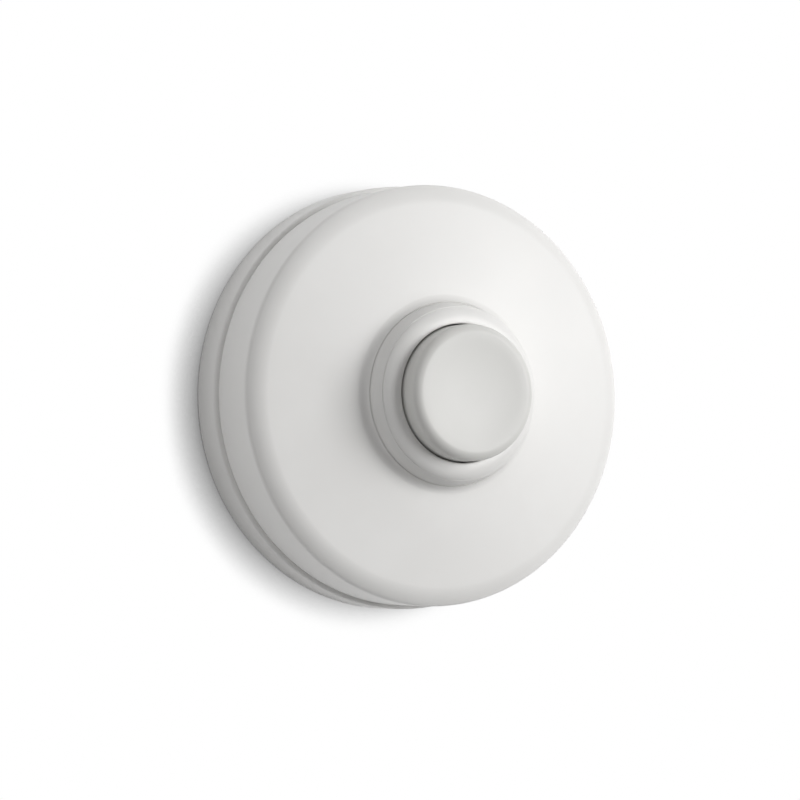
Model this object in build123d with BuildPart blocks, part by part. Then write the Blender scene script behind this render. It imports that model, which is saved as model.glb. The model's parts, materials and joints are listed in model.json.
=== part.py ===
from build123d import *
import os
from math import cos, radians, sin, tan

# Round doorbell push button for a wall, in millimetres.
# The wall is the XZ plane, the button faces -Y and +Z is up. The origin is the centre of the
# back face on the wall. A height is measured out from the wall, along -Y.

# Cover
cover_radius = 31.0  # outside of the straight side
cover_wall = 2.2  # moulded wall
shoulder_height = 16.2  # height at which side and face would meet without the rounding
edge_radius = 2.85  # rounding between side and face
face_slope = 8.5  # degrees that the face rises towards the collar
seam_bevel = 0.3  # bevel of the cover's lower edge
inner_bevel = 0.5  # bevel inside the rounded edge

# Collar round the button, from the bore outwards: rounded lip, fine line, wall, crease and cove
mouth_radius = 0.25  # rounding of the bore's mouth
lip_width = 2.5  # bore to fine line
lip_height = 1.17
lip_slope = 58.0  # degrees at which the lip's rounding starts
line_width = 0.2  # groove cut round the collar
line_depth = 0.08
wall_lean = 0.8  # how far the wall leans in as it rises
wall_height = 2.55
wall_slope = 84.0  # degrees at which the wall starts
crease_width = 0.08
crease_depth = 0.15
cove_width = 1.2
cove_height = 1.11
cove_slope = 30.0  # degrees at which the cove leaves the face

# Push button
button_radius = 9.9
button_gap = 0.22  # running gap all round, between button and bore
button_stand = 3.63  # how far the button stands out of the collar
button_edge_radius = 1.0
dish_depth = 0.35
button_wall = 1.8
button_travel = 2.0
flange_overlap = 1.9  # how far the flange reaches under the cover's bore
flange_thickness = 1.4
seat_margin = 0.6  # flat seat left round the flange
stem_radius = 2.6
rib_thickness = 1.2
rib_count = 4
rib_clearance = 1.5  # from the ribs' lower edge up to the flange's top

# Base
base_height = 5.9  # wall to seam
base_flare = 0.6  # how far the base stands out past the cover
ledge_width = 0.55  # sloping ledge under the seam
ledge_drop = 0.3
back_bevel = 0.2  # bevel of the edge at the wall
floor_thickness = 2.4
back_recess = 0.8  # the floor stands clear of the wall inside the rim
rim_width = 3.4  # rim that meets the wall

# Spigot and snap that hold the cover
spigot_height = 4.6
spigot_wall = 1.8
spigot_gap = 0.2
snap_depth = 0.6
snap_height = 1.3
snap_rise = 1.6  # seam to the lugs' lower edge
snap_gap = 0.15
snap_count = 3
snap_angle = 16.0  # degrees that each lug covers

# Wall screws and cable entry
screw_spacing = 40.0
screw_hole_radius = 2.1
screw_sink_radius = 4.0
screw_pad_radius = 5.2
sink_angle = 90.0
cable_radius = 4.0
cable_offset = 11.0  # left of and below the centre

# Contact set
boss_height = 3.8  # above the floor
boss_width = 9.4
boss_margin = 0.5  # boss left beyond the strip's end
boss_corner = 1.5
pedestal_radius = 3.6
strip_end_gap = 1.8  # strip's outer end to the inside of the spigot
foot_width = 8.4
tongue_width = 6.4
plate_thickness = 0.8
spring_thickness = 0.3
bend_radius = 2.0
spring_pad = 3.4  # flat of the leaf, each side of the contact
spring_turn_up = 0.5  # end of the leaf, turned away from the plate
turn_up_length = 1.4
rivet_inset = 2.4  # strip's outer end to the rivet
rivet_radius = 1.2
rivet_head_radius = 2.1
rivet_head_height = 0.6
piece_gap = 0.3  # rivet head to wire clamp
bend_margin = 0.9  # wire clamp to the leaf's first bend
tip_radius = 1.9
tip_height = 0.7
tip_bevel = 0.3
tip_shank_radius = 0.9
tip_tail_radius = 1.5
tip_tail_height = 0.5
closing_gap = 0.02  # left between the contacts when the button is fully in

# Terminals
clamp_size = 6.8
clamp_thickness = 1.0
clamp_corner = 0.8
wire_groove_radius = 0.5
screw_head_radius = 3.1
screw_head_height = 2.1
screw_bevel = 0.4
screw_shank_radius = 1.6
screw_slot_width = 0.8
screw_slot_depth = 1.0
screw_end_gap = 0.4
insert_radius = 2.6
insert_length = 4.6
insert_groove_depth = 0.3
insert_groove_length = 1.2
fit_gap = 0.05  # gap between a shank and its hole

# Worked-out radii
bore_radius = button_radius + button_gap
line_radius = bore_radius + lip_width
wall_radius = line_radius + wall_lean
crease_radius = wall_radius + crease_width
cove_radius = crease_radius + cove_width
flange_radius = bore_radius + flange_overlap
seat_radius = flange_radius + seat_margin
skirt_inner_radius = cover_radius - cover_wall
snap_radius = skirt_inner_radius - snap_depth
base_radius = cover_radius + base_flare
rim_inner_radius = base_radius - rim_width
spigot_radius = skirt_inner_radius - spigot_gap
spigot_inner_radius = spigot_radius - spigot_wall
groove_radius = snap_radius - spigot_gap


def face_height(radius):
    """Height of the cover's conical face at a radius."""
    return shoulder_height + (cover_radius - radius) * tan(radians(face_slope))


def ceiling_height(radius):
    """Height of the cover's inner cone, one wall under the face."""
    return face_height(radius) - cover_wall / cos(radians(face_slope))


def slope_line(slope):
    """Direction in the half-section that rises towards the axis at a slope in degrees."""
    return Vector(-cos(radians(slope)), sin(radians(slope)))


# Worked-out heights
cove_foot = face_height(cove_radius)
cove_top = cove_foot + cove_height
wall_foot = cove_top - crease_depth
line_height = wall_foot + wall_height
mouth_height = line_height + lip_height
seat_height = ceiling_height(seat_radius)
button_top = mouth_height + button_stand
button_ceiling = button_top - dish_depth - button_wall
floor_top = back_recess + floor_thickness
boss_top = floor_top + boss_height
fixed_tip_top = boss_top + plate_thickness + tip_height
moving_tip_foot = fixed_tip_top + button_travel + closing_gap
spring_foot = moving_tip_foot + tip_height
stem_foot = spring_foot + spring_thickness + tip_tail_height
snap_foot = base_height + snap_rise
snap_top = snap_foot + snap_height

# Places along Z on the spring's side, mirrored below the centre for the plate
strip_end = spigot_inner_radius - strip_end_gap
rivet_place = strip_end - rivet_inset
terminal_place = rivet_place - rivet_head_radius - piece_gap - clamp_size / 2
foot_end = terminal_place - clamp_size / 2 - bend_margin
foot_length = strip_end - foot_end
spring_end = spring_pad + turn_up_length

# Half-section, x is the radius and y the height, turned about the button's axis
SECTION = Plane(origin=(0, 0, 0), x_dir=(1, 0, 0), z_dir=(0, 0, -1))
# Upright section through the strips, x is +Z and y the height
SIDE = Plane(origin=(0, 0, 0), x_dir=(0, 0, 1), z_dir=(1, 0, 0))
BUTTON_AXIS = Axis((0, 0, 0), (0, -1, 0))

UP, DOWN = 1, -1
SIDE_NAMES = {UP: "spring_side", DOWN: "plate_side"}
STRIP_THICKNESS = {UP: spring_thickness, DOWN: plate_thickness}


def at_height(height):
    """Plane parallel to the wall, facing out, at a height."""
    return Plane.XZ.offset(height)


def strip_top(side):
    """Height of the outer face of the strip on one side."""
    return boss_top + STRIP_THICKNESS[side]


def clamp_top(side):
    """Height that a terminal screw's head sits on."""
    return strip_top(side) + clamp_thickness


# Base: turned rim, floor and spigot, with bosses for the strips
with BuildPart() as base:
    with BuildSketch(SECTION):
        with BuildLine():
            Polyline(
                (0, back_recess),
                (rim_inner_radius, back_recess),
                (rim_inner_radius, 0),
                (base_radius - back_bevel, 0),
                (base_radius, back_bevel),
                (base_radius, base_height - ledge_drop),
                (base_radius - ledge_width, base_height),
                (spigot_radius, base_height),
                (spigot_radius, snap_foot - snap_gap),
                (groove_radius, snap_foot - snap_gap),
                (groove_radius, snap_top + snap_gap),
                (spigot_radius, snap_top + snap_gap),
                (spigot_radius, base_height + spigot_height),
                (spigot_inner_radius, base_height + spigot_height),
                (spigot_inner_radius, floor_top),
                (0, floor_top),
                close=True,
            )
        make_face()
    revolve(axis=BUTTON_AXIS)

    # Bosses under the strips' feet and a pedestal under the fixed contact
    boss_end = strip_end + boss_margin
    boss_length = foot_length + boss_margin
    with BuildSketch(at_height(floor_top)):
        with Locations(*[(0, side * (boss_end - boss_length / 2)) for side in (UP, DOWN)]):
            RectangleRounded(boss_width, boss_length, boss_corner)
        Circle(pedestal_radius)
    extrude(amount=boss_height)

    # Pads that bring the wall-screw holes down to the wall
    screw_places = [(side * screw_spacing / 2, 0) for side in (UP, DOWN)]
    with BuildSketch(at_height(0)):
        with Locations(*screw_places):
            Circle(screw_pad_radius)
    extrude(amount=back_recess)
    with Locations(at_height(floor_top)):
        with Locations(*screw_places):
            CounterSinkHole(screw_hole_radius, screw_sink_radius, counter_sink_angle=sink_angle)

    # Cable entry
    with BuildSketch(at_height(0)):
        with Locations((-cable_offset, -cable_offset)):
            Circle(cable_radius)
    extrude(amount=floor_top, mode=Mode.SUBTRACT)

    # Seats for the threaded inserts, and holes for the rivets
    for side in (UP, DOWN):
        with BuildSketch(at_height(boss_top)):
            with Locations((0, side * terminal_place)):
                Circle(insert_radius + fit_gap)
        extrude(amount=-insert_length, mode=Mode.SUBTRACT)
        with BuildSketch(at_height(boss_top)):
            with Locations((0, side * rivet_place)):
                Circle(rivet_radius + fit_gap)
        extrude(amount=-boss_top, mode=Mode.SUBTRACT)

# Cover: one turned shell with its collar and bore, and lugs that snap into the spigot
with BuildPart() as cover:
    with BuildSketch(SECTION) as cover_section:
        with BuildLine():
            shoulder = (cover_radius, shoulder_height)
            face_end = (cove_radius, cove_foot)
            Polyline((skirt_inner_radius, base_height), (cover_radius, base_height), shoulder, face_end)
            cove_end = (crease_radius, cove_top)
            wall_start = (wall_radius, wall_foot)
            TangentArc(face_end, cove_end, tangent=slope_line(cove_slope))
            Line(cove_end, wall_start)
            # The fine line is a shallow V, square to the collar's surface there
            line_place = Vector(line_radius, line_height)
            along = slope_line(lip_slope)
            inward = Vector(-along.Y, along.X)
            wall_end = line_place - along * line_width / 2
            lip_start = line_place + along * line_width / 2
            mouth_edge = (bore_radius + mouth_radius, mouth_height)
            TangentArc(wall_start, wall_end, tangent=slope_line(wall_slope))
            Polyline(wall_end, line_place + inward * line_depth, lip_start)
            TangentArc(lip_start, mouth_edge, tangent=along)
            RadiusArc(mouth_edge, (bore_radius, mouth_height - mouth_radius), -mouth_radius)
            inner_shoulder = (skirt_inner_radius, ceiling_height(skirt_inner_radius))
            Polyline(
                (bore_radius, mouth_height - mouth_radius),
                (bore_radius, seat_height),
                (seat_radius, seat_height),
                inner_shoulder,
                (skirt_inner_radius, base_height),
            )
        make_face()
        fillet(cover_section.vertices().sort_by_distance(shoulder)[0], edge_radius)
        chamfer(cover_section.vertices().sort_by_distance(inner_shoulder)[0], inner_bevel)
        chamfer(cover_section.vertices().sort_by_distance((cover_radius, base_height))[0], seam_bevel)
    revolve(axis=BUTTON_AXIS)

    # Lugs, rooted half a wall deep in the skirt
    for i in range(snap_count):
        turn = 360 / snap_count * i - snap_angle / 2
        with BuildSketch(SECTION.rotated((0, turn, 0))):
            with BuildLine():
                root_radius = skirt_inner_radius + cover_wall / 2
                Polyline(
                    (root_radius, snap_foot),
                    (skirt_inner_radius, snap_foot),
                    (snap_radius, snap_foot + snap_depth),
                    (snap_radius, snap_top),
                    (root_radius, snap_top),
                    close=True,
                )
            make_face()
        revolve(axis=BUTTON_AXIS, revolution_arc=snap_angle)

# Push button: hollow plunger with a dished top, a retaining flange and a ribbed stem
with BuildPart() as push_button:
    with BuildSketch(SECTION):
        with BuildLine():
            dish_rim = (button_radius - button_edge_radius, button_top)
            TangentArc((0, button_top - dish_depth), dish_rim, tangent=(1, 0))
            RadiusArc(dish_rim, (button_radius, button_top - button_edge_radius), button_edge_radius)
            cup_radius = button_radius - button_wall
            Polyline(
                (button_radius, button_top - button_edge_radius),
                (button_radius, seat_height),
                (flange_radius, seat_height),
                (flange_radius, seat_height - flange_thickness),
                (cup_radius, seat_height - flange_thickness),
                (cup_radius, button_ceiling),
                (stem_radius, button_ceiling),
                (stem_radius, stem_foot),
                (0, stem_foot),
                (0, button_top - dish_depth),
            )
        make_face()
    revolve(axis=BUTTON_AXIS)

    rib_foot = seat_height + rib_clearance
    rib_length = cup_radius + button_wall / 2
    with BuildSketch(at_height(rib_foot)):
        with PolarLocations(rib_length / 2, rib_count):
            Rectangle(rib_length, rib_thickness)
    extrude(amount=button_ceiling - rib_foot)

# Fixed contact strip: wide foot under the terminal and a tongue that ends under the leaf
with BuildPart() as contact_plate:
    tongue_end = pedestal_radius
    with BuildSketch(at_height(boss_top)) as plate_outline:
        with Locations((0, -(strip_end + foot_end) / 2)):
            RectangleRounded(foot_width, foot_length, boss_corner)
        tongue_length = tongue_end + foot_end + foot_length / 2
        with Locations((0, tongue_end - tongue_length / 2)):
            Rectangle(tongue_width, tongue_length)
        fillet(plate_outline.vertices().group_by(Axis.Y)[-1], tongue_width / 3)
    extrude(amount=plate_thickness)
    with BuildSketch(at_height(boss_top)):
        Circle(tip_shank_radius + fit_gap)
        with Locations((0, -terminal_place)):
            Circle(screw_shank_radius + fit_gap)
        with Locations((0, -rivet_place)):
            Circle(rivet_radius + fit_gap)
    extrude(amount=plate_thickness, mode=Mode.SUBTRACT)

# Moving contact leaf: bent strip, cut to its outline
with BuildPart() as contact_spring:
    with BuildSketch(SIDE):
        with BuildLine():
            leaf = FilletPolyline(
                (strip_end, boss_top),
                (foot_end, boss_top),
                (spring_pad, spring_foot),
                (-spring_pad, spring_foot),
                (-spring_end, spring_foot + spring_turn_up),
                radius=(bend_radius, bend_radius, bend_radius),
            )
            offset(leaf, amount=spring_thickness, side=Side.RIGHT)
        make_face()
    extrude(amount=foot_width / 2, both=True)
    with BuildSketch(at_height(boss_top)) as leaf_outline:
        with Locations((0, (strip_end + foot_end) / 2)):
            RectangleRounded(foot_width, foot_length, boss_corner)
        leaf_length = spring_end + foot_end + foot_length / 2
        with Locations((0, leaf_length / 2 - spring_end)):
            Rectangle(tongue_width, leaf_length)
        fillet(leaf_outline.vertices().group_by(Axis.Y)[0], tongue_width / 3)
        Circle(tip_shank_radius + fit_gap, mode=Mode.SUBTRACT)
        with Locations((0, terminal_place)):
            Circle(screw_shank_radius + fit_gap, mode=Mode.SUBTRACT)
        with Locations((0, rivet_place)):
            Circle(rivet_radius + fit_gap, mode=Mode.SUBTRACT)
    extrude(amount=stem_foot - boss_top + spring_turn_up, mode=Mode.INTERSECT)

# Contact rivet on the plate
with BuildPart() as fixed_contact_tip:
    with BuildSketch(at_height(boss_top)):
        Circle(tip_shank_radius)
    extrude(amount=plate_thickness)
    with BuildSketch(at_height(boss_top + plate_thickness)):
        Circle(tip_radius)
    extrude(amount=tip_height)
    chamfer(fixed_contact_tip.edges().sort_by(Axis.Y)[0], tip_bevel)

# Contact rivet on the leaf, with the tail that the button's stem presses
with BuildPart() as moving_contact_tip:
    with BuildSketch(at_height(moving_tip_foot)):
        Circle(tip_radius)
    extrude(amount=tip_height)
    chamfer(moving_contact_tip.edges().sort_by(Axis.Y)[-1], tip_bevel)
    with BuildSketch(at_height(spring_foot)):
        Circle(tip_shank_radius)
    extrude(amount=spring_thickness)
    with BuildSketch(at_height(spring_foot + spring_thickness)):
        Circle(tip_tail_radius)
    extrude(amount=tip_tail_height)

# Slotted terminal screws
with BuildPart() as terminal_screws:
    for side in (UP, DOWN):
        with BuildSketch(at_height(clamp_top(side))):
            with Locations((0, side * terminal_place)):
                Circle(screw_head_radius)
        extrude(amount=screw_head_height)
        head_edge = terminal_screws.edges(Select.LAST).sort_by(Axis.Y)[0]
        chamfer(head_edge, screw_bevel)
        with BuildSketch(at_height(clamp_top(side))):
            with Locations((0, side * terminal_place)):
                Circle(screw_shank_radius)
        shank_length = clamp_top(side) - boss_top + insert_length - screw_end_gap
        extrude(amount=-shank_length)
        with BuildSketch(at_height(clamp_top(side) + screw_head_height)):
            with Locations((0, side * terminal_place)):
                Rectangle(2 * screw_head_radius, screw_slot_width)
        extrude(amount=-screw_slot_depth, mode=Mode.SUBTRACT)

# Rivets through the strips' outer ends, closed over in the recess behind the floor
with BuildPart() as strip_rivets:
    for side in (UP, DOWN):
        for foot, radius, length in (
            (back_recess - rivet_head_height, rivet_head_radius, rivet_head_height),
            (back_recess, rivet_radius, strip_top(side) - back_recess),
            (strip_top(side), rivet_head_radius, rivet_head_height),
        ):
            with BuildSketch(at_height(foot)):
                with Locations((0, side * rivet_place)):
                    Circle(radius)
            extrude(amount=length)

pieces = {
    "base": base,
    "cover": cover,
    "push_button": push_button,
    "contact_plate": contact_plate,
    "contact_spring": contact_spring,
    "fixed_contact_tip": fixed_contact_tip,
    "moving_contact_tip": moving_contact_tip,
    "terminal_screws": terminal_screws,
    "strip_rivets": strip_rivets,
}

# A square wire clamp and a threaded insert for each terminal
for side in (UP, DOWN):
    with BuildPart() as wire_clamp:
        with BuildSketch(at_height(strip_top(side))):
            with Locations((0, side * terminal_place)):
                RectangleRounded(clamp_size, clamp_size, clamp_corner)
                Circle(screw_shank_radius + fit_gap, mode=Mode.SUBTRACT)
        extrude(amount=clamp_thickness)
        # Grooves that take a wire on each side of the screw
        with BuildSketch(SIDE.offset(-clamp_size / 2)):
            with Locations((side * terminal_place, strip_top(side))):
                with GridLocations(2 * (screw_shank_radius + 2 * wire_groove_radius), 0, 2, 1):
                    Circle(wire_groove_radius)
        extrude(amount=clamp_size, mode=Mode.SUBTRACT)
    pieces[f"wire_clamp_{SIDE_NAMES[side]}"] = wire_clamp

    with BuildPart() as threaded_insert:
        with BuildSketch(at_height(boss_top)):
            with Locations((0, side * terminal_place)):
                Circle(insert_radius)
                Circle(screw_shank_radius + fit_gap, mode=Mode.SUBTRACT)
        extrude(amount=-insert_length)
        with BuildSketch(at_height(boss_top - (insert_length - insert_groove_length) / 2)):
            with Locations((0, side * terminal_place)):
                Circle(insert_radius)
                Circle(insert_radius - insert_groove_depth, mode=Mode.SUBTRACT)
        extrude(amount=-insert_groove_length, mode=Mode.SUBTRACT)
    pieces[f"threaded_insert_{SIDE_NAMES[side]}"] = threaded_insert

os.makedirs("parts", exist_ok=True)
for name, piece in pieces.items():
    piece.part.label = name
    export_step(piece.part, f"parts/{name}.step")
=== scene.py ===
"""Round doorbell push button, dressed for a studio picture on a plain white wall.

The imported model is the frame: lengths are metres, the wall is the plane y = 0, the button
faces -Y and +Z is up. Heights are measured out from the wall, along -Y. The sizes of the
pieces are written in millimetres, and those of the finishes and the studio in metres.
"""

from __future__ import annotations

import json
import logging
import math
from dataclasses import dataclass, field
from enum import Enum
from typing import Any

import bmesh
import bpy
from mathutils import Matrix, Vector

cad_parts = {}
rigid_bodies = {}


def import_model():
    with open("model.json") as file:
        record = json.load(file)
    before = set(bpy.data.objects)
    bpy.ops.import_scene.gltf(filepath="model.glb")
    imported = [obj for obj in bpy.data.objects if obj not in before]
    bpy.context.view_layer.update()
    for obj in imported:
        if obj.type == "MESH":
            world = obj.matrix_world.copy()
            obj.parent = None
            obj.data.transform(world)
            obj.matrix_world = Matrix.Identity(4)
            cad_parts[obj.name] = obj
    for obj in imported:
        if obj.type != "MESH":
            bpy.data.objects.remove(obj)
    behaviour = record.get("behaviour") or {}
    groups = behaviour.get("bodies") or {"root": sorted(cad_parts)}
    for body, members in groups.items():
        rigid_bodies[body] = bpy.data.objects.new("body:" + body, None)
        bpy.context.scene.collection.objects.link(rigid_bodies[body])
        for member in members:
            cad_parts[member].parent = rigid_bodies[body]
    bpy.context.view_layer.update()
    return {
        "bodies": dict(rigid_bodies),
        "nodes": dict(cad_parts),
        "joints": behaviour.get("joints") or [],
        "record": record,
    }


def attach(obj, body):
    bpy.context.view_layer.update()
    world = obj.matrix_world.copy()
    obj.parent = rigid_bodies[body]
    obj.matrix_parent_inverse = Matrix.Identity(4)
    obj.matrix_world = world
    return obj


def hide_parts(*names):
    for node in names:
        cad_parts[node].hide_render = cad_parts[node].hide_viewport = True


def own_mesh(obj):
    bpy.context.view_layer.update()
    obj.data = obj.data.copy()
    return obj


log = logging.getLogger("bell_push")

Point = tuple[float, float]
Colour = tuple[float, float, float]

MM = 0.001
# Points closer than this, in metres, are joined.
WELD = 1e-6
# An arc that leaves its heading by less than this, in millimetres, is a line.
STRAIGHT = 1e-9
# Angle in degrees from which an edge of a turned or copied shape is sharp.
CREASE = 12.0
# Headings in a half-section.
OUTWARD: Point = (1.0, 0.0)
INWARD: Point = (-1.0, 0.0)
UPWARD: Point = (0.0, 1.0)


class Body(Enum):
    """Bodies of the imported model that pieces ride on."""

    HOUSING = "housing"
    PLUNGER = "plunger"


class Slot(Enum):
    """Names of material slots in the record."""

    HOUSING_PLASTIC = "housing_plastic"
    BUTTON_PLASTIC = "button_plastic"
    SPRING_BRONZE = "spring_bronze"


class NodeKit:
    """Lays nodes and links into one node tree."""

    # Layout of the nodes in the editor.
    SPACING = (190, 230)
    PER_ROW = 9
    # Places of the colour sockets on a Mix node.
    MIX_COLOURS = slice(6, 8)
    MIX_RESULT = 2

    def __init__(self, tree: bpy.types.NodeTree) -> None:
        """Take the geometry or shader tree to fill."""
        self.tree = tree
        self.placed = 0

    def add(self, kind: str, feeds: dict[Any, Any] | None = None, **settings: Any) -> bpy.types.Node:
        """Add one node, set its properties and feed its inputs.

        Args:
            kind: Blender's identifier of the node type.
            feeds: Sockets or plain values for its inputs, by name or place.
            settings: Properties of the node, by name.

        Returns:
            The new node.
        """
        node = self.tree.nodes.new(kind)
        row, column = divmod(self.placed, self.PER_ROW)
        node.location = (self.SPACING[0] * column, -self.SPACING[1] * row)
        self.placed += 1
        for name, value in settings.items():
            setattr(node, name, value)
        for name, value in (feeds or {}).items():
            self.feed(node.inputs[name], value)
        return node

    def feed(self, target: bpy.types.NodeSocket, value: Any) -> None:
        """Link a socket to an input, or set the input's own value.

        Args:
            target: Input socket.
            value: Output socket to link, or a plain value.
        """
        if isinstance(value, bpy.types.NodeSocket):
            self.tree.links.new(value, target)
        else:
            target.default_value = value

    def result(self, kind: str, *values: Any, **settings: Any) -> bpy.types.NodeSocket:
        """Add a node and feed its first inputs in order.

        Args:
            kind: Blender's identifier of the node type.
            values: Sockets or plain values for its inputs.
            settings: Properties of the node, by name.

        Returns:
            The node's first output.
        """
        node = self.add(kind, **settings)
        for target, value in zip(node.inputs, values):
            self.feed(target, value)
        return node.outputs[0]

    def math(self, operation: str, *values: Any) -> bpy.types.NodeSocket:
        """Add a Math node and return its output."""
        return self.result("ShaderNodeMath", *values, operation=operation)

    def remap(self, value: Any, ends: Point, to_low: float, to_high: float) -> bpy.types.NodeSocket:
        """Map a value from the range between two ends to another range, easing in and out."""
        values = (value, *ends, to_low, to_high)
        return self.result("ShaderNodeMapRange", *values, interpolation_type="SMOOTHSTEP")

    def blend(self, share: Any, first: Colour, second: Colour) -> bpy.types.NodeSocket:
        """Mix two colours.

        Args:
            share: Share of the second colour.
            first: Colour at 0.
            second: Colour at 1.

        Returns:
            The mixed colour.
        """
        node = self.add("ShaderNodeMix", {"Factor": share}, data_type="RGBA")
        for target, colour in zip(node.inputs[self.MIX_COLOURS], (first, second)):
            self.feed(target, (*colour, 1.0))
        return node.outputs[self.MIX_RESULT]

    def noise(self, place: Any, scale: Any, detail: float, roughness: float = 0.5) -> bpy.types.NodeSocket:
        """Add a noise texture, with its scale in waves to the metre, and return its output."""
        feeds = {"Vector": place, "Scale": scale, "Detail": detail, "Roughness": roughness}
        return self.add("ShaderNodeTexNoise", feeds, noise_dimensions="3D").outputs[0]

    def bump(self, shader: bpy.types.Node, height: Any, depth: float) -> None:
        """Roughen a shader's surface by a height, of which 1 stands for the depth."""
        feeds = {"Strength": 1.0, "Distance": depth, "Height": height}
        self.feed(shader.inputs["Normal"], self.add("ShaderNodeBump", feeds).outputs[0])

    def seen(self) -> bpy.types.NodeSocket:
        """Tell looking from lighting.

        Returns:
            1 for camera, glossy and transmission rays, 0 for rays that only carry light.
        """
        path = self.add("ShaderNodeLightPath")
        shown = self.math("MAXIMUM", path.outputs["Is Camera Ray"], path.outputs["Is Glossy Ray"])
        return self.math("MAXIMUM", shown, path.outputs["Is Transmission Ray"])


class GroupKit(NodeKit):
    """A node group with named inputs and outputs."""

    def __init__(self, name: str, kind: str) -> None:
        """Make an empty group.

        Args:
            name: Name of the group.
            kind: "GeometryNodeTree" or "ShaderNodeTree".
        """
        super().__init__(bpy.data.node_groups.new(name, kind))
        self.sockets: dict[str, bpy.types.NodeTreeInterfaceSocket] = {}
        self.ends: dict[str, bpy.types.Node] = {}

    def socket(self, name: str, kind: str, default: Any = None, output: bool = False) -> None:
        """Add one named socket to the group's interface.

        Args:
            name: Name of the socket.
            kind: Blender's socket type.
            default: Value that an input starts with.
            output: True for an output.
        """
        way = "OUTPUT" if output else "INPUT"
        made = self.tree.interface.new_socket(name=name, in_out=way, socket_type=kind)
        if default is not None:
            made.default_value = default
        self.sockets[name] = made

    def given(self, name: str) -> bpy.types.NodeSocket:
        """Find one of the group's inputs, for use inside it.

        Args:
            name: Name of the input.

        Returns:
            The socket that brings the input's value.
        """
        if "in" not in self.ends:
            self.ends["in"] = self.add("NodeGroupInput")
        return self.ends["in"].outputs[name]

    def give(self, name: str, value: bpy.types.NodeSocket) -> None:
        """Link a value to one of the group's outputs.

        Args:
            name: Name of the output.
            value: Socket to link.
        """
        if "out" not in self.ends:
            self.ends["out"] = self.add("NodeGroupOutput")
        self.feed(self.ends["out"].inputs[name], value)


class Section:
    """Half-section of a turned piece, as (radius, height) points in millimetres."""

    def __init__(self, start: Point) -> None:
        """Start the section at a point."""
        self.points: list[Point] = [start]

    def line(self, *ends: Point) -> Section:
        """Go straight through each of the points."""
        self.points.extend(ends)
        return self

    def arc(self, end: Point, heading: Point, steps: int) -> Section:
        """Go round a circle's arc that leaves the last point along a heading.

        Args:
            end: Point where the arc ends.
            heading: Direction in which it leaves, of any length.
            steps: Number of chords.

        Returns:
            The section itself.
        """
        start = Vector(self.points[-1])
        way = Vector(heading).normalized()
        side = Vector((-way.y, way.x))
        chord = Vector(end) - start
        reach = chord.dot(side)
        if abs(reach) < STRAIGHT:
            return self.line(end)
        radius = chord.length_squared / (2 * reach)
        centre = start + side * radius
        spoke = start - centre
        turn = 2 * math.atan2(reach, chord.dot(way))
        for step in range(1, steps):
            self.points.append(tuple(centre + Matrix.Rotation(turn * step / steps, 2) @ spoke))
        self.points.append(end)
        return self

    def round(self, corner: Point, end: Point, radius: float, steps: int) -> Section:
        """Go towards a corner, round it off and head for the next point.

        Args:
            corner: Corner to round.
            end: Point that the section goes to next, which isn't added.
            radius: Radius of the rounding.
            steps: Number of chords.

        Returns:
            The section itself.
        """
        before = (Vector(self.points[-1]) - Vector(corner)).normalized()
        after = (Vector(end) - Vector(corner)).normalized()
        half = before.angle(after) / 2
        inset = radius / math.tan(half)
        self.line(tuple(Vector(corner) + before * inset))
        return self.arc(tuple(Vector(corner) + after * inset), tuple(-before), steps)

    def divide(self, longest: float) -> Section:
        """Split long runs, so that the faces turned from them aren't slivers.

        Args:
            longest: Longest run that is left.

        Returns:
            The section itself.
        """
        split: list[Point] = [self.points[0]]
        for end in self.points[1:]:
            start = Vector(split[-1])
            run = Vector(end) - start
            count = max(1, math.ceil(run.length / longest))
            split.extend(tuple(start + run * step / count) for step in range(1, count))
            split.append(end)
        self.points = split
        return self

    def mesh(self, name: str) -> bpy.types.Mesh:
        """Make the section a line of mesh edges, in metres.

        Args:
            name: Name of the mesh.

        Returns:
            A mesh with the radius along X and the height along Y.
        """
        mesh = bpy.data.meshes.new(name)
        corners = [(radius * MM, height * MM, 0.0) for radius, height in self.points]
        mesh.from_pydata(corners, [(i, i + 1) for i in range(len(corners) - 1)], [])
        return mesh


def rising(slope: float) -> Point:
    """Return the direction in a half-section that rises towards the axis at a slope in degrees."""
    return (-math.cos(math.radians(slope)), math.sin(math.radians(slope)))


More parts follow.
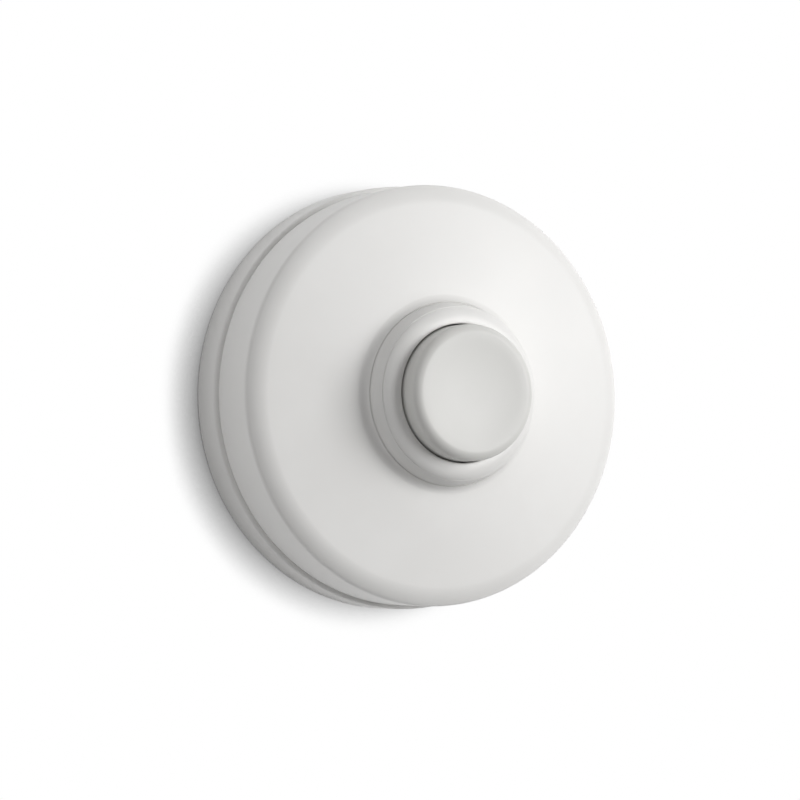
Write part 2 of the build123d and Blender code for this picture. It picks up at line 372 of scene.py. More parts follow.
class TurnedShellTree:
    """Geometry Nodes tree that turns a half-section about the button's axis."""

    def __init__(self) -> None:
        """Build the tree once: a grid with a row for each point of the section, bent into rings."""
        kit = GroupKit("turned_shell", "GeometryNodeTree")
        kit.socket("Geometry", "NodeSocketGeometry", output=True)
        kit.socket("Section", "NodeSocketGeometry")
        kit.socket("Segments", "NodeSocketInt")
        kit.socket("Crease Angle", "NodeSocketFloat", math.radians(CREASE))
        kit.socket("Finish", "NodeSocketMaterial")
        size = kit.add("GeometryNodeAttributeDomainSize", {0: kit.given("Section")}, component="MESH")
        around = kit.math("ADD", kit.given("Segments"), 1.0)
        feeds = {"Vertices X": size.outputs["Point Count"], "Vertices Y": around}
        grid = kit.add("GeometryNodeMeshGrid", feeds)
        index = kit.add("GeometryNodeInputIndex").outputs[0]
        # Half a step keeps the division clear of rounding before the floor.
        row = kit.math("FLOOR", kit.math("DIVIDE", kit.math("ADD", index, 0.5), around))
        column = kit.math("SUBTRACT", index, kit.math("MULTIPLY", row, around))
        place = kit.add("GeometryNodeInputPosition").outputs[0]
        feeds = {"Geometry": kit.given("Section"), "Value": place, "Index": row}
        sample = kit.add("GeometryNodeSampleIndex", feeds, data_type="FLOAT_VECTOR")
        spot = kit.add("ShaderNodeSeparateXYZ", {0: sample.outputs[0]})
        radius, height = spot.outputs["X"], spot.outputs["Y"]
        turn = kit.math("MULTIPLY", column, kit.math("DIVIDE", math.tau, kit.given("Segments")))
        across = kit.math("MULTIPLY", radius, kit.math("COSINE", turn))
        up = kit.math("MULTIPLY", radius, kit.math("SINE", turn))
        bent = kit.result("ShaderNodeCombineXYZ", across, kit.math("MULTIPLY", height, -1.0), up)
        feeds = {"Geometry": grid.outputs["Mesh"], "Position": bent}
        turned = kit.add("GeometryNodeSetPosition", feeds)
        feeds = {"Geometry": turned.outputs[0], "Distance": WELD}
        closed = kit.add("GeometryNodeMergeByDistance", feeds)
        finish_tree(kit, closed.outputs[0])
        self.kit = kit

    def turn(
        self, name: str, section: Section, segments: int, finish: bpy.types.Material
    ) -> bpy.types.Object:
        """Turn one section into a closed shell.

        Args:
            name: Name of the piece.
            section: Its half-section, which starts and ends on the axis or meets itself.
            segments: Number of faces round the axis.
            finish: Material of the shell.

        Returns:
            An object with a plain mesh.
        """
        piece = bpy.data.objects.new(name, section.mesh(name))
        return run_tree(self.kit, piece, {"Segments": segments, "Finish": finish})


class RingOfCopiesTree:
    """Geometry Nodes tree that sets copies of one shape evenly round the button's axis."""

    def __init__(self) -> None:
        """Build the tree once."""
        kit = GroupKit("ring_of_copies", "GeometryNodeTree")
        kit.socket("Geometry", "NodeSocketGeometry", output=True)
        kit.socket("Shape", "NodeSocketGeometry")
        kit.socket("Count", "NodeSocketInt")
        kit.socket("Crease Angle", "NodeSocketFloat", math.radians(CREASE))
        kit.socket("Finish", "NodeSocketMaterial")
        points = kit.add("GeometryNodePoints", {"Count": kit.given("Count")})
        index = kit.add("GeometryNodeInputIndex").outputs[0]
        turn = kit.math("MULTIPLY", index, kit.math("DIVIDE", math.tau, kit.given("Count")))
        angles = kit.add("ShaderNodeCombineXYZ", {"Y": turn})
        rotation = kit.result("FunctionNodeEulerToRotation", angles.outputs[0])
        feeds = {"Points": points.outputs[0], "Instance": kit.given("Shape"), "Rotation": rotation}
        copies = kit.add("GeometryNodeInstanceOnPoints", feeds)
        finish_tree(kit, copies.outputs[0])
        self.kit = kit

    def spread(
        self, name: str, shape: bpy.types.Mesh, count: int, finish: bpy.types.Material
    ) -> bpy.types.Object:
        """Set copies of a mesh round the axis.

        Args:
            name: Name of the piece.
            shape: Mesh of one copy, in its place.
            count: Number of copies.
            finish: Material of the copies.

        Returns:
            An object with a plain mesh.
        """
        piece = bpy.data.objects.new(name, shape)
        return run_tree(self.kit, piece, {"Count": count, "Finish": finish})


def finish_tree(kit: GroupKit, geometry: bpy.types.NodeSocket) -> None:
    """End a geometry tree: real copies, shading by angle and one material.

    Args:
        kit: Tree to end, with the inputs Crease Angle and Finish.
        geometry: Geometry made so far.
    """
    real = kit.result("GeometryNodeRealizeInstances", geometry)
    smooth = kit.add("GeometryNodeSetShadeSmooth", {"Geometry": real}, domain="FACE")
    angle = kit.add("GeometryNodeInputMeshEdgeAngle").outputs["Unsigned Angle"]
    feeds = {0: angle, 1: kit.given("Crease Angle")}
    creased = kit.add("FunctionNodeCompare", feeds, data_type="FLOAT", operation="GREATER_THAN")
    feeds = {"Geometry": smooth.outputs[0], "Selection": creased.outputs[0], "Shade Smooth": False}
    sharp = kit.add("GeometryNodeSetShadeSmooth", feeds, domain="EDGE")
    feeds = {"Geometry": sharp.outputs[0], "Material": kit.given("Finish")}
    kit.give("Geometry", kit.add("GeometryNodeSetMaterial", feeds).outputs[0])


def run_tree(kit: GroupKit, piece: bpy.types.Object, values: dict[str, Any]) -> bpy.types.Object:
    """Run a geometry tree on an object and keep the result as its plain mesh.

    Args:
        kit: Tree to run.
        piece: Object whose mesh the tree takes in, not yet in the scene.
        values: Values of the tree's named inputs.

    Returns:
        The same object, with the result as its mesh and no modifier.
    """
    bpy.context.scene.collection.objects.link(piece)
    modifier = piece.modifiers.new(kit.tree.name, "NODES")
    modifier.node_group = kit.tree
    for name, value in values.items():
        modifier[kit.sockets[name].identifier] = value
    graph = bpy.context.evaluated_depsgraph_get()
    shaped = piece.evaluated_get(graph)
    made = bpy.data.meshes.new_from_object(shaped, preserve_all_data_layers=True, depsgraph=graph)
    piece.modifiers.remove(modifier)
    piece.data = made
    made.name = piece.name
    return piece


def face_outwards(mesh: bpy.types.Mesh) -> None:
    """Turn a closed mesh's faces outwards, by the sign of its volume.

    Args:
        mesh: Mesh to check, turned in place if it is inside out.
    """
    work = bmesh.new()
    work.from_mesh(mesh)
    if work.calc_volume(signed=True) < 0:
        bmesh.ops.reverse_faces(work, faces=work.faces)
        work.to_mesh(mesh)
    work.free()


def gather(name: str, parts: list[bpy.types.Object]) -> bpy.types.Object:
    """Put several objects' meshes into one object and delete the others.

    Args:
        name: Name of the piece.
        parts: Objects at the origin, with one shared material.

    Returns:
        The first object, with all the meshes.
    """
    work = bmesh.new()
    for part in parts:
        face_outwards(part.data)
        work.from_mesh(part.data)
    work.to_mesh(parts[0].data)
    work.free()
    for part in parts[1:]:
        bpy.data.objects.remove(part)
    parts[0].name = parts[0].data.name = name
    return parts[0]


class GrainGroup:
    """Shader group for the fine spark-eroded skin of a moulding and its faint mottling."""

    FINE_DETAIL = 2.0
    FINE_ROUGHNESS = 0.55
    FINE_SHARE = 0.6
    PIT_SCALE = 0.62
    PIT_SHARE = 0.55
    CLOUD_DETAIL = 4.0
    CLOUD_ENDS = (0.32, 0.68)

    def __init__(self) -> None:
        """Build the group once."""
        kit = GroupKit("moulded_grain", "ShaderNodeTree")
        kit.socket("Grain Scale", "NodeSocketFloat")
        kit.socket("Mottle Scale", "NodeSocketFloat")
        kit.socket("Height", "NodeSocketFloat", output=True)
        kit.socket("Mottle", "NodeSocketFloat", output=True)
        place = kit.add("ShaderNodeTexCoord").outputs["Object"]
        fine = kit.noise(place, kit.given("Grain Scale"), self.FINE_DETAIL, self.FINE_ROUGHNESS)
        pit_scale = kit.math("MULTIPLY", kit.given("Grain Scale"), self.PIT_SCALE)
        pits = kit.add("ShaderNodeTexVoronoi", {"Vector": place, "Scale": pit_scale}, feature="SMOOTH_F1")
        fine_height = kit.math("MULTIPLY", fine, self.FINE_SHARE)
        kit.give("Height", kit.math("MULTIPLY_ADD", pits.outputs["Distance"], self.PIT_SHARE, fine_height))
        cloud = kit.noise(place, kit.given("Mottle Scale"), self.CLOUD_DETAIL)
        kit.give("Mottle", kit.remap(cloud, self.CLOUD_ENDS, 0.0, 1.0))
        self.tree = kit.tree


class RolledGroup:
    """Shader group for the drawn streaks and stains of rolled metal."""

    # Streaks are drawn out along Z.
    DRAWN_SCALE = (1.0, 1.0, 0.035)
    STREAK_DETAIL = 3.0
    STAIN_DETAIL = 5.0
    STAIN_ENDS = (0.35, 0.7)

    def __init__(self) -> None:
        """Build the group once."""
        kit = GroupKit("rolled_metal", "ShaderNodeTree")
        kit.socket("Streak Scale", "NodeSocketFloat")
        kit.socket("Stain Scale", "NodeSocketFloat")
        kit.socket("Streak", "NodeSocketFloat", output=True)
        kit.socket("Stain", "NodeSocketFloat", output=True)
        place = kit.add("ShaderNodeTexCoord").outputs["Object"]
        drawn = kit.add("ShaderNodeMapping", {"Vector": place, "Scale": self.DRAWN_SCALE})
        kit.give("Streak", kit.noise(drawn.outputs[0], kit.given("Streak Scale"), self.STREAK_DETAIL))
        stain = kit.noise(place, kit.given("Stain Scale"), self.STAIN_DETAIL)
        kit.give("Stain", kit.remap(stain, self.STAIN_ENDS, 0.0, 1.0))
        self.tree = kit.tree


@dataclass(frozen=True)
class PlasticFinish:
    """Satin moulded plastic, which fingers may have polished round the button's axis."""

    name: str
    colour: Colour
    shade: Colour
    roughness: float
    roughness_swing: float
    grain_scale: float
    grain_depth: float
    mottle_scale: float
    polish_radius: float = 0.0
    polish: float = 0.0
    polish_core: float = 0.35
    ior: float = 1.5

    def material(self, grain: GrainGroup) -> bpy.types.Material:
        """Build the material.

        Args:
            grain: Group of the moulding's skin.

        Returns:
            A material on Object coordinates.
        """
        material, kit, shader = new_material(self.name)
        feeds = {"Grain Scale": self.grain_scale, "Mottle Scale": self.mottle_scale}
        skin = kit.add("ShaderNodeGroup", feeds, node_tree=grain.tree)
        mottle = skin.outputs["Mottle"]
        kit.feed(shader.inputs["Base Color"], kit.blend(mottle, self.shade, self.colour))
        smoothest = self.roughness - self.roughness_swing / 2
        rough = kit.math("MULTIPLY_ADD", mottle, self.roughness_swing, smoothest)
        if self.polish > 0.0:
            rough = kit.math("SUBTRACT", rough, self.worn(kit))
        kit.feed(shader.inputs["Roughness"], rough)
        kit.bump(shader, skin.outputs["Height"], self.grain_depth)
        kit.feed(shader.inputs["IOR"], self.ior)
        return material

    def worn(self, kit: NodeKit) -> bpy.types.NodeSocket:
        """Work out how much roughness fingers have taken off.

        Args:
            kit: Kit of the material's tree.

        Returns:
            The loss of roughness, full in the polished core and none past the polished radius.
        """
        place = kit.add("ShaderNodeTexCoord").outputs["Object"]
        spot = kit.add("ShaderNodeSeparateXYZ", {0: place})
        sides = (spot.outputs["X"], spot.outputs["Z"])
        radius = kit.math("SQRT", kit.math("ADD", *(kit.math("MULTIPLY", side, side) for side in sides)))
        ends = (self.polish_core * self.polish_radius, self.polish_radius)
        return kit.remap(radius, ends, self.polish, 0.0)


@dataclass(frozen=True)
class MetalFinish:
    """Rolled, drawn or plated metal."""

    name: str
    colour: Colour
    stain: Colour
    roughness: float
    streak_scale: float
    streak_depth: float
    stain_scale: float
    streak_swing: float = 0.16
    stain_swing: float = 0.1

    def material(self, rolled: RolledGroup) -> bpy.types.Material:
        """Build the material.

        Args:
            rolled: Group of the streaks and stains.

        Returns:
            A material on Object coordinates.
        """
        material, kit, shader = new_material(self.name)
        feeds = {"Streak Scale": self.streak_scale, "Stain Scale": self.stain_scale}
        skin = kit.add("ShaderNodeGroup", feeds, node_tree=rolled.tree)
        streak, stain = skin.outputs["Streak"], skin.outputs["Stain"]
        kit.feed(shader.inputs["Base Color"], kit.blend(stain, self.colour, self.stain))
        smoothest = self.roughness - self.streak_swing / 2
        rough = kit.math("MULTIPLY_ADD", streak, self.streak_swing, smoothest)
        kit.feed(shader.inputs["Roughness"], kit.math("MULTIPLY_ADD", stain, self.stain_swing, rough))
        kit.bump(shader, streak, self.streak_depth)
        kit.feed(shader.inputs["Metallic"], 1.0)
        return material


def empty_material(name: str) -> tuple[bpy.types.Material, NodeKit]:
    """Make a material with no nodes.

    Args:
        name: Name of the material.
    """
    material = bpy.data.materials.new(name)
    material.use_nodes = True
    material.node_tree.nodes.clear()
    return material, NodeKit(material.node_tree)


def new_material(name: str) -> tuple[bpy.types.Material, NodeKit, bpy.types.Node]:
    """Make a material with one Principled shader.

    Args:
        name: Name of the material.

    Returns:
        The material, its node kit and its shader node.
    """
    material, kit = empty_material(name)
    shader = kit.add("ShaderNodeBsdfPrincipled")
    kit.add("ShaderNodeOutputMaterial", {"Surface": shader.outputs[0]})
    return material, kit, shader


HOUSING_WHITE = PlasticFinish(
    name="housing_satin_white",
    colour=(0.812, 0.805, 0.790),
    shade=(0.790, 0.782, 0.766),
    roughness=0.46,
    roughness_swing=0.06,
    grain_scale=5200.0,
    grain_depth=3.5e-6,
    mottle_scale=90.0,
)
BUTTON_WHITE = PlasticFinish(
    name="button_grey_white",
    colour=(0.671, 0.667, 0.645),
    shade=(0.651, 0.647, 0.626),
    roughness=0.48,
    roughness_swing=0.06,
    grain_scale=6400.0,
    grain_depth=2.5e-6,
    mottle_scale=130.0,
    polish_radius=0.0075,
    polish=0.05,
)
STRIP_BRASS = MetalFinish(
    name="strip_brass",
    colour=(0.80, 0.60, 0.27),
    stain=(0.62, 0.42, 0.17),
    roughness=0.34,
    streak_scale=2600.0,
    streak_depth=4e-6,
    stain_scale=240.0,
)
LEAF_BRONZE = MetalFinish(
    name="leaf_bronze",
    colour=(0.76, 0.50, 0.29),
    stain=(0.52, 0.31, 0.17),
    roughness=0.30,
    streak_scale=3200.0,
    streak_depth=3e-6,
    stain_scale=300.0,
)
TIP_SILVER = MetalFinish(
    name="tip_silver",
    colour=(0.86, 0.85, 0.82),
    stain=(0.62, 0.60, 0.55),
    roughness=0.27,
    streak_scale=3800.0,
    streak_depth=2e-6,
    stain_scale=700.0,
)
NICKEL_STEEL = MetalFinish(
    name="nickel_steel",
    colour=(0.70, 0.69, 0.66),
    stain=(0.52, 0.51, 0.48),
    roughness=0.31,
    streak_scale=3000.0,
    streak_depth=3e-6,
    stain_scale=360.0,
)


@dataclass
class Workshop:
    """Shared trees, groups and materials that the pieces are made with."""

    turned: TurnedShellTree = field(default_factory=TurnedShellTree)
    ring: RingOfCopiesTree = field(default_factory=RingOfCopiesTree)
    grain: GrainGroup = field(default_factory=GrainGroup)
    rolled: RolledGroup = field(default_factory=RolledGroup)

    def __post_init__(self) -> None:
        """Build one material for each finish."""
        self.housing = HOUSING_WHITE.material(self.grain)
        self.button = BUTTON_WHITE.material(self.grain)
        self.brass = STRIP_BRASS.material(self.rolled)
        self.bronze = LEAF_BRONZE.material(self.rolled)
        self.silver = TIP_SILVER.material(self.rolled)
        self.nickel = NICKEL_STEEL.material(self.rolled)


def closed_mesh(name: str, points: list[Any], faces: list[tuple[int, ...]]) -> bpy.types.Mesh:
    """Make a closed mesh with its faces outwards.

    Args:
        name: Name of the mesh.
        points: Places of its corners, in metres.
        faces: Numbers of each face's corners.

    Returns:
        The mesh.
    """
    mesh = bpy.data.meshes.new(name)
    mesh.from_pydata(points, [], faces)
    face_outwards(mesh)
    return mesh


@dataclass
class Cover:
    """Moulded cap: straight side, rounded edge, shallow cone face and stepped collar."""

    radius: float = 31.0
    wall: float = 2.2
    seam_height: float = 5.9
    seam_rounding: float = 0.3
    shoulder_height: float = 16.2
    edge_inset: float = 2.9
    side_rounding: float = 1.2
    side_turn: float = 45.0
    face_slope: float = 8.5
    inner_rounding: float = 0.5
    bore_radius: float = 10.12
    mouth_rounding: float = 0.25
    lip_width: float = 2.5
    lip_height: float = 1.17
    lip_slope: float = 58.0
    line_width: float = 0.2
    line_depth: float = 0.08
    wall_lean: float = 0.8
    wall_height: float = 2.55
    wall_slope: float = 84.0
    crease_width: float = 0.08
    crease_depth: float = 0.15
    cove_width: float = 1.2
    cove_height: float = 1.11
    cove_slope: float = 14.0
    seat_radius: float = 12.62
    snap_foot: float = 7.5
    snap_height: float = 1.3
    snap_depth: float = 0.6
    snap_count: int = 3
    snap_angle: float = 16.0
    snap_steps: int = 8
    segments: int = 288
    longest_run: float = 1.6

    def face_height(self, radius: float) -> float:
        """Return the height of the cone face at a radius."""
        rise = math.tan(math.radians(self.face_slope))
        return self.shoulder_height + (self.radius - radius) * rise

    def ceiling_height(self, radius: float) -> float:
        """Return the height of the inner cone at a radius, one wall under the face."""
        return self.face_height(radius) - self.wall / math.cos(math.radians(self.face_slope))

    def edge(self) -> tuple[Point, Point, Point]:
        """Work out the rounded edge: a tight arc off the side, then a wide one to the face.

        Returns:
            Start of the tight arc, the point where the arcs meet, and end of the wide arc.
        """
        turn, full = math.radians(self.side_turn), math.radians(90 - self.face_slope)
        tight_in = self.side_rounding * (1 - math.cos(turn))
        wide_radius = (self.edge_inset - tight_in) / (math.cos(turn) - math.cos(full))
        end = (self.radius - self.edge_inset, self.face_height(self.radius - self.edge_inset))
        middle = (self.radius - tight_in, end[1] - wide_radius * (math.sin(full) - math.sin(turn)))
        start = (self.radius, middle[1] - self.side_rounding * math.sin(turn))
        return start, middle, end

    def section(self) -> Section:
        """Draw the half-section of the shell.

        Returns:
            A closed section: from the hem up the outside, over the collar and back inside.
        """
        inner = self.radius - self.wall
        line_radius = self.bore_radius + self.lip_width
        wall_radius = line_radius + self.wall_lean
        cove_radius = wall_radius + self.crease_width + self.cove_width
        foot = (cove_radius, self.face_height(cove_radius))
        cove = (wall_radius + self.crease_width, foot[1] + self.cove_height)
        wall_foot = (wall_radius, cove[1] - self.crease_depth)
        line = Vector((line_radius, wall_foot[1] + self.wall_height))
        along = Vector(rising(self.lip_slope))
        into_lip = Vector((-along.y, along.x))
        mouth = (self.bore_radius + self.mouth_rounding, line.y + self.lip_height)
        seat = (self.seat_radius, self.ceiling_height(self.seat_radius))
        hem = (inner, self.seam_height)
        edge_start, edge_middle, edge_end = self.edge()
        inner_shoulder = (inner, self.ceiling_height(inner))
        return (
            Section(hem)
            .round((self.radius, self.seam_height), edge_start, self.seam_rounding, steps=10)
            .line(edge_start)
            .arc(edge_middle, UPWARD, steps=12)
            .arc(edge_end, rising(90 - self.side_turn), steps=24)
            .line(foot)
            .arc(cove, rising(self.cove_slope), steps=14)
            .line(wall_foot)
            .arc(tuple(line - along * self.line_width / 2), rising(self.wall_slope), steps=14)
            .line(tuple(line + into_lip * self.line_depth), tuple(line + along * self.line_width / 2))
            .arc(mouth, tuple(along), steps=22)
            .arc((self.bore_radius, mouth[1] - self.mouth_rounding), INWARD, steps=10)
            .line((self.bore_radius, seat[1]), seat)
            .round(inner_shoulder, hem, self.inner_rounding, steps=8)
            .line(hem)
            .divide(self.longest_run)
        )

    def lug(self) -> bpy.types.Mesh:
        """Build one snap lug on the inside of the skirt.

        Returns:
            The lug's mesh, in its place.
        """
        inner = self.radius - self.wall
        top = self.snap_foot + self.snap_height
        outline = [
            (inner + self.wall / 2, self.snap_foot),
            (inner, self.snap_foot),
            (inner - self.snap_depth, self.snap_foot + self.snap_depth),
            (inner - self.snap_depth, top),
            (inner + self.wall / 2, top),
        ]
        count, last = len(outline), self.snap_steps * len(outline)
        points = []
        for step in range(self.snap_steps + 1):
            turn = math.radians(self.snap_angle) * (step / self.snap_steps - 0.5)
            for radius, height in outline:
                out = radius * MM
                points.append((out * math.cos(turn), -height * MM, out * math.sin(turn)))
        faces = [tuple(range(count)), tuple(range(last, last + count))[::-1]]
        for near in range(0, last, count):
            far = near + count
            for i in range(count):
                j = (i + 1) % count
                faces.append((far + i, far + j, near + j, near + i))
        return closed_mesh("snap_lug", points, faces)

    def build(self, shop: Workshop) -> bpy.types.Object:
        """Build the cover and put it in place of its CAD node.

        Args:
            shop: Shared trees and materials.

        Returns:
            The finished piece.
        """
        shell = shop.turned.turn("cover_shell", self.section(), self.segments, shop.housing)
        lugs = shop.ring.spread("cover_lugs", self.lug(), self.snap_count, shop.housing)
        piece = gather("bell_cover", [shell, lugs])
        return settle(piece, Body.HOUSING, Slot.HOUSING_PLASTIC, "cover")


@dataclass
class PushButton:
    """Hollow plunger with a dished top, a flange that keeps it in, and a ribbed stem."""

    radius: float = 9.9
    top: float = 26.946
    edge_radius: float = 1.35
    rim_easing: float = 1.2
    dish_depth: float = 0.35
    wall: float = 1.8
    flange_radius: float = 12.02
    flange_top: float = 16.72
    flange_thickness: float = 1.4
    stem_radius: float = 2.6
    stem_foot: float = 12.02
    rib_thickness: float = 1.2
    rib_count: int = 4
    rib_clearance: float = 1.5
    segments: int = 224
    longest_run: float = 1.4

    @property
    def ceiling(self) -> float:
        """Height of the hollow's end."""
        return self.top - self.dish_depth - self.wall

    def section(self) -> Section:
        """Draw the half-section.

        Returns:
            A section from the dish's centre over the rim, flange and hollow to the stem's foot.
        """
        cup = self.radius - self.wall
        flange_foot = self.flange_top - self.flange_thickness
        rim = self.radius - self.edge_radius
        tilt = 2 * math.atan2(self.dish_depth, rim)
        dish_end = (rim - self.rim_easing, self.top - self.dish_depth * self.rim_easing / rim)
        return (
            Section((0.0, self.top - self.dish_depth))
            .arc(dish_end, OUTWARD, steps=26)
            .arc((rim, self.top), (math.cos(tilt), math.sin(tilt)), steps=8)
            .arc((self.radius, self.top - self.edge_radius), OUTWARD, steps=20)
            .line((self.radius, self.flange_top), (self.flange_radius, self.flange_top))
            .line((self.flange_radius, flange_foot), (cup, flange_foot), (cup, self.ceiling))
            .line((self.stem_radius, self.ceiling), (self.stem_radius, self.stem_foot))
            .line((0.0, self.stem_foot))
            .divide(self.longest_run)
        )

    def rib(self) -> bpy.types.Mesh:
        """Build one rib between the stem and the wall.

        Returns:
            The rib's mesh, in its place.
        """
        foot, half = self.flange_top + self.rib_clearance, self.rib_thickness / 2
        start, end = self.stem_radius / 2, self.radius - self.wall / 2
        sweep = Vector((0.0, foot - self.ceiling - self.wall / 2, 0.0)) * MM
        outline = ((start, -half), (end, -half), (end, half), (start, half))
        lower = [Vector((x, -foot, z)) * MM for x, z in outline]
        upper = [corner + sweep for corner in lower]
        count = len(outline)
        sides = [(i, (i + 1) % count, (i + 1) % count + count, i + count) for i in range(count)]
        ends = [tuple(range(count))[::-1], tuple(range(count, 2 * count))]
        return closed_mesh("button_rib", lower + upper, ends + sides)

    def build(self, shop: Workshop) -> bpy.types.Object:
        """Build the button and put it in place of its CAD node.

        Args:
            shop: Shared trees and materials.

        Returns:
            The finished piece.
        """
        shell = shop.turned.turn("button_shell", self.section(), self.segments, shop.button)
        ribs = shop.ring.spread("button_ribs", self.rib(), self.rib_count, shop.button)
        piece = gather("bell_button", [shell, ribs])
        return settle(piece, Body.PLUNGER, Slot.BUTTON_PLASTIC, "push_button")


def settle(piece: bpy.types.Object, body: Body, slot: Slot, *nodes: str) -> bpy.types.Object:
    """Put a finished piece in place of CAD nodes.

    Args:
        piece: Object with its final mesh.
        body: Body that it rides on.
        slot: Record slot of its finish; not used.
        nodes: CAD nodes that it stands for.

    Returns:
        The same piece.
    """
    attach(piece, body.value)
    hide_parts(*nodes)
    return piece


def lift(frame: dict[str, Any], node: str) -> bmesh.types.BMesh:
    """Take a copy of a CAD node's mesh, with its doubled points joined.

    Args:
        frame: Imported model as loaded.
        node: Name of the node.

    Returns:
        A work mesh, which piece_from turns into an object.
    """
    work = bmesh.new()
    work.from_mesh(frame["nodes"][node].data)
    bmesh.ops.remove_doubles(work, verts=work.verts, dist=WELD)
    return work


def piece_from(
    work: bmesh.types.BMesh, name: str, finish: bpy.types.Material, crease: float
) -> bpy.types.Object:
    """Turn a work mesh into an object and free it.

    Args:
        work: Mesh to take.
        name: Name of the piece.
        finish: Its material.
        crease: Angle in degrees from which an edge is sharp.

    Returns:
        The object, in the scene.
    """
    mesh = bpy.data.meshes.new(name)
    work.to_mesh(mesh)
    work.free()
    mesh.materials.clear()
    mesh.materials.append(finish)
    mesh.shade_smooth()
    mesh.set_sharp_from_angle(angle=math.radians(crease))
    piece = bpy.data.objects.new(name, mesh)
    bpy.context.scene.collection.objects.link(piece)
    return piece


@dataclass
class Base:
    """Wall base: its CAD shape, with the outer edge of the ledge under the seam eased."""

    node: str = "base"
    radius: float = 31.6
    ledge_foot: float = 5.6
    easing: float = 0.3
    steps: int = 5
    round_profile: float = 0.5
    near: float = 0.02
    flat_within: float = 1.0
    crease: float = 24.0

    def on_edge(self, place: Vector) -> bool:
        """Tell whether a point of the frame lies on the ledge's outer edge."""
        aside = math.hypot(place.x, place.z) - self.radius * MM
        return max(abs(aside), abs(place.y + self.ledge_foot * MM)) < self.near * MM

    def ease(self, work: bmesh.types.BMesh) -> None:
        """Round the ledge's outer edge off.

        Args:
            work: Mesh of the base, changed in place.
        """
        edge_points = {corner for corner in work.verts if self.on_edge(corner.co)}
        beside = [face for face in work.faces if not edge_points.isdisjoint(face.verts)]
        bmesh.ops.join_triangles(
            work,
            faces=beside,
            angle_face_threshold=math.radians(self.flat_within),
            angle_shape_threshold=math.pi,
        )
        bmesh.ops.bevel(
            work,
            geom=[edge for edge in work.edges if edge_points.issuperset(edge.verts)],
            offset=self.easing * MM,
            offset_type="OFFSET",
            segments=self.steps,
            profile=self.round_profile,
            affect="EDGES",
        )

    def build(self, frame: dict[str, Any], shop: Workshop) -> bpy.types.Object:
        """Ease the edge and put the base in place of its CAD node.

        Args:
            frame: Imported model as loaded.
            shop: Shared materials.

        Returns:
            The finished piece.
        """
        work = lift(frame, self.node)
        self.ease(work)
        piece = piece_from(work, "bell_base", shop.housing, self.crease)
        return settle(piece, Body.HOUSING, Slot.HOUSING_PLASTIC, self.node)


@dataclass
class InnerWorks:
    """Contact set, which keeps its CAD shapes."""

    brass: tuple[str, ...] = (
        "contact_plate",
        "strip_rivets",
        "threaded_insert_spring_side",
        "threaded_insert_plate_side",
    )
    silver: tuple[str, ...] = ("fixed_contact_tip", "moving_contact_tip")
    nickel: tuple[str, ...] = ("terminal_screws", "wire_clamp_spring_side", "wire_clamp_plate_side")
    leaf: str = "contact_spring"
    leaf_crease: float = 28.0
    leaf_foot: float = 7.0
    leaf_keep: float = 0.53

    def dress(self, frame: dict[str, Any], shop: Workshop) -> None:
        """Give each CAD node that stays its finish.

        Args:
            frame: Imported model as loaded.
            shop: Shared materials.
        """
        finishes = dict.fromkeys(self.brass, shop.brass)
        finishes.update(dict.fromkeys(self.silver, shop.silver))
        finishes.update(dict.fromkeys(self.nickel, shop.nickel))
        for node, finish in finishes.items():
            for place in frame["nodes"][node].material_slots:
                place.material = finish

    def build_leaf(self, frame: dict[str, Any], shop: Workshop) -> bpy.types.Object:
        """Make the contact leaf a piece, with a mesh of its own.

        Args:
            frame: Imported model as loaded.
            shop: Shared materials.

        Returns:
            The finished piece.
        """
        piece = piece_from(lift(frame, self.leaf), "bell_leaf", shop.bronze, self.leaf_crease)
        settle(piece, Body.HOUSING, Slot.SPRING_BRONZE, self.leaf)
        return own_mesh(piece)


@dataclass(frozen=True)
class SoftBox:
    """Square studio lamp that faces the button."""

    name: str
    place: tuple[float, float, float]
    power: float
    side: float = 0.6

    def build(self) -> None:
        """Put the lamp in the scene as an area light."""
        lamp = bpy.data.lights.new(self.name, "AREA")
        lamp.shape = "SQUARE"
        lamp.size = self.side
        lamp.energy = self.power
        box = bpy.data.objects.new(self.name, lamp)
        box.location = self.place
        box.rotation_mode = "QUATERNION"
        box.rotation_quaternion = (-Vector(self.place)).to_track_quat("-Z", "Y")
        bpy.context.scene.collection.objects.link(box)


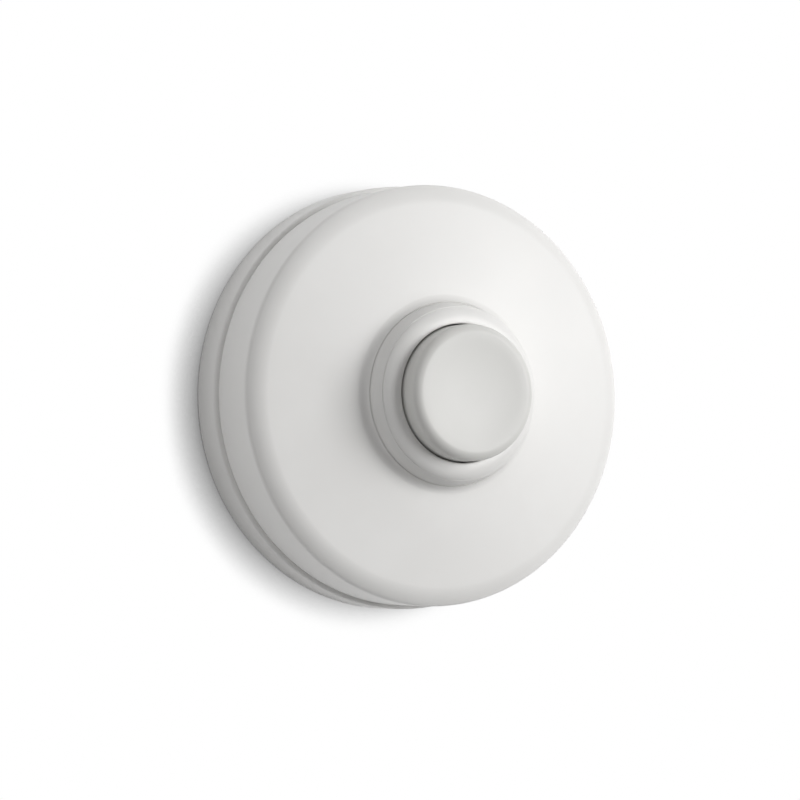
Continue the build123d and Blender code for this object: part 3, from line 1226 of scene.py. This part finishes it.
@dataclass
class Studio:
    """White wall, soft light and the camera."""

    azimuth: float = -28.15
    elevation: float = -2.24
    distance: float = 0.496
    aside: float = 0.001798
    above: float = -0.000186
    lens: float = 147.8
    sensor: float = 36.0
    clip: Point = (0.01, 20.0)
    wall_behind: float = 0.0001
    # The first ring is the edge of the opening behind the base.
    wall_rings: tuple[float, ...] = (0.0312, 0.06, 0.2, 1.6)
    wall_steps: int = 192
    wall_bounce: float = 1.0
    # Painted shadow on the wall: an occlusion test with these settings darkens the white that the wall
    # shows.
    shadow_reach: float = 0.0095
    shadow_samples: int = 24
    shadow_gain: float = 1.43
    shadow_depth: float = 1.6
    shadow_from: tuple[float, float, float] = (0.65, -0.73, 0.16)
    room_above: float = 0.32
    room_below: float = 0.18
    lamps: tuple[SoftBox, ...] = (
        SoftBox("key", (0.762, -0.970, 0.196), power=12.9),
        SoftBox("fill", (-0.700, -0.955, 0.400), power=0.85),
        SoftBox("rim_left", (-1.204, -0.256, 0.217), power=1.1),
        SoftBox("behind", (-0.450, 1.100, 0.420), power=8.0),
    )

    def build_wall(self) -> None:
        """Build the wall as a stage piece, open behind the base and seen only from the front."""
        work = bmesh.new()
        turns = [math.tau * step / self.wall_steps for step in range(self.wall_steps)]
        rings = []
        for radius in self.wall_rings:
            spots = [(radius * math.cos(a), self.wall_behind, radius * math.sin(a)) for a in turns]
            rings.append([work.verts.new(spot) for spot in spots])
        for inner, outer in zip(rings, rings[1:]):
            for i in range(self.wall_steps):
                j = (i + 1) % self.wall_steps
                work.faces.new((inner[i], outer[i], outer[j], inner[j]))
        for face in work.faces:
            face.normal_update()
            if face.normal.y > 0:
                face.normal_flip()
        mesh = bpy.data.meshes.new("wall")
        work.to_mesh(mesh)
        work.free()
        mesh.materials.append(self.wall_material())
        wall = bpy.data.objects.new("wall", mesh)
        bpy.context.scene.collection.objects.link(wall)

    def wall_material(self) -> bpy.types.Material:
        """Make matt white paint that reads as white, with a painted soft shadow where the base meets it:
        an occlusion test leaned towards the key lamp darkens the white that the wall shows, in place of
        the lamps' own cast shadow.

        Returns:
            A material that lets views from behind through.
        """
        material, kit = empty_material("wall_white")
        lean = kit.result("ShaderNodeCombineXYZ", *Vector(self.shadow_from).normalized())
        feeds = {"Distance": self.shadow_reach, "Normal": lean}
        shadow = kit.add("ShaderNodeAmbientOcclusion", feeds, samples=self.shadow_samples)
        # Painted shadow: the shown white falls with the occlusion test, not with the lamps.
        lit = kit.math("MINIMUM", kit.math("MULTIPLY", shadow.outputs["AO"], self.shadow_gain), 1.0)
        white = kit.add("ShaderNodeEmission", {"Strength": kit.math("POWER", lit, self.shadow_depth)})
        paint = kit.add("ShaderNodeBsdfDiffuse", {"Color": (*(self.wall_bounce,) * 3, 1.0)})
        front = kit.result("ShaderNodeMixShader", kit.seen(), paint.outputs[0], white.outputs[0])
        from_behind = kit.add("ShaderNodeNewGeometry").outputs["Backfacing"]
        clear = kit.add("ShaderNodeBsdfTransparent").outputs[0]
        surface = kit.result("ShaderNodeMixShader", from_behind, front, clear)
        kit.add("ShaderNodeOutputMaterial", {"Surface": surface})
        return material

    def light(self) -> None:
        """Set up the room light, brighter from above than from below, and the soft boxes."""
        world = bpy.data.worlds.new("studio_room")
        world.use_nodes = True
        world.node_tree.nodes.clear()
        kit = NodeKit(world.node_tree)
        way = kit.add("ShaderNodeSeparateXYZ", {0: kit.add("ShaderNodeTexCoord").outputs["Generated"]})
        level = kit.remap(way.outputs["Z"], (-1.0, 1.0), self.room_below, self.room_above)
        room = kit.add("ShaderNodeBackground", {"Strength": kit.math("MAXIMUM", kit.seen(), level)})
        kit.add("ShaderNodeOutputWorld", {"Surface": room.outputs[0]})
        bpy.context.scene.world = world
        for lamp in self.lamps:
            lamp.build()

    def build_camera(self) -> None:
        """Place the scene's camera where the photograph was taken from."""
        turn, rise = math.radians(self.azimuth), math.radians(self.elevation)
        level = math.cos(rise)
        back = Vector((math.sin(turn) * level, -math.cos(turn) * level, math.sin(rise)))
        right = Vector((0.0, 0.0, 1.0)).cross(back).normalized()
        up = back.cross(right)
        lens = bpy.data.cameras.new("camera")
        lens.sensor_width = self.sensor
        lens.lens = self.lens
        lens.clip_start, lens.clip_end = self.clip
        camera = bpy.data.objects.new("camera", lens)
        camera.matrix_world = Matrix((right, up, back)).transposed().to_4x4()
        camera.location = back * self.distance + right * self.aside + up * self.above
        bpy.context.scene.collection.objects.link(camera)
        bpy.context.scene.camera = camera

    def build(self) -> None:
        """Build the wall, the light and the camera."""
        self.build_wall()
        self.light()
        self.build_camera()
        bpy.context.scene.view_settings.view_transform = "Standard"


def corners(box: tuple[Vector, Vector]) -> list[list[float]]:
    """Return a box's two corners as plain lists."""
    return [list(box[0]), list(box[1])]


def main() -> None:
    """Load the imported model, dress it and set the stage."""
    logging.basicConfig(level=logging.INFO, format="%(name)s: %(message)s")
    for old in list(bpy.data.objects):
        bpy.data.objects.remove(old)
    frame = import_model()
    shop = Workshop()
    works = InnerWorks()
    works.dress(frame, shop)
    pieces = (
        Base().build(frame, shop),
        Cover().build(shop),
        PushButton().build(shop),
        works.build_leaf(frame, shop),
    )
    for piece in pieces:
        log.info("%s: %d faces", piece.name, len(piece.data.polygons))
    Studio().build()


if __name__ == "__main__":
    main()
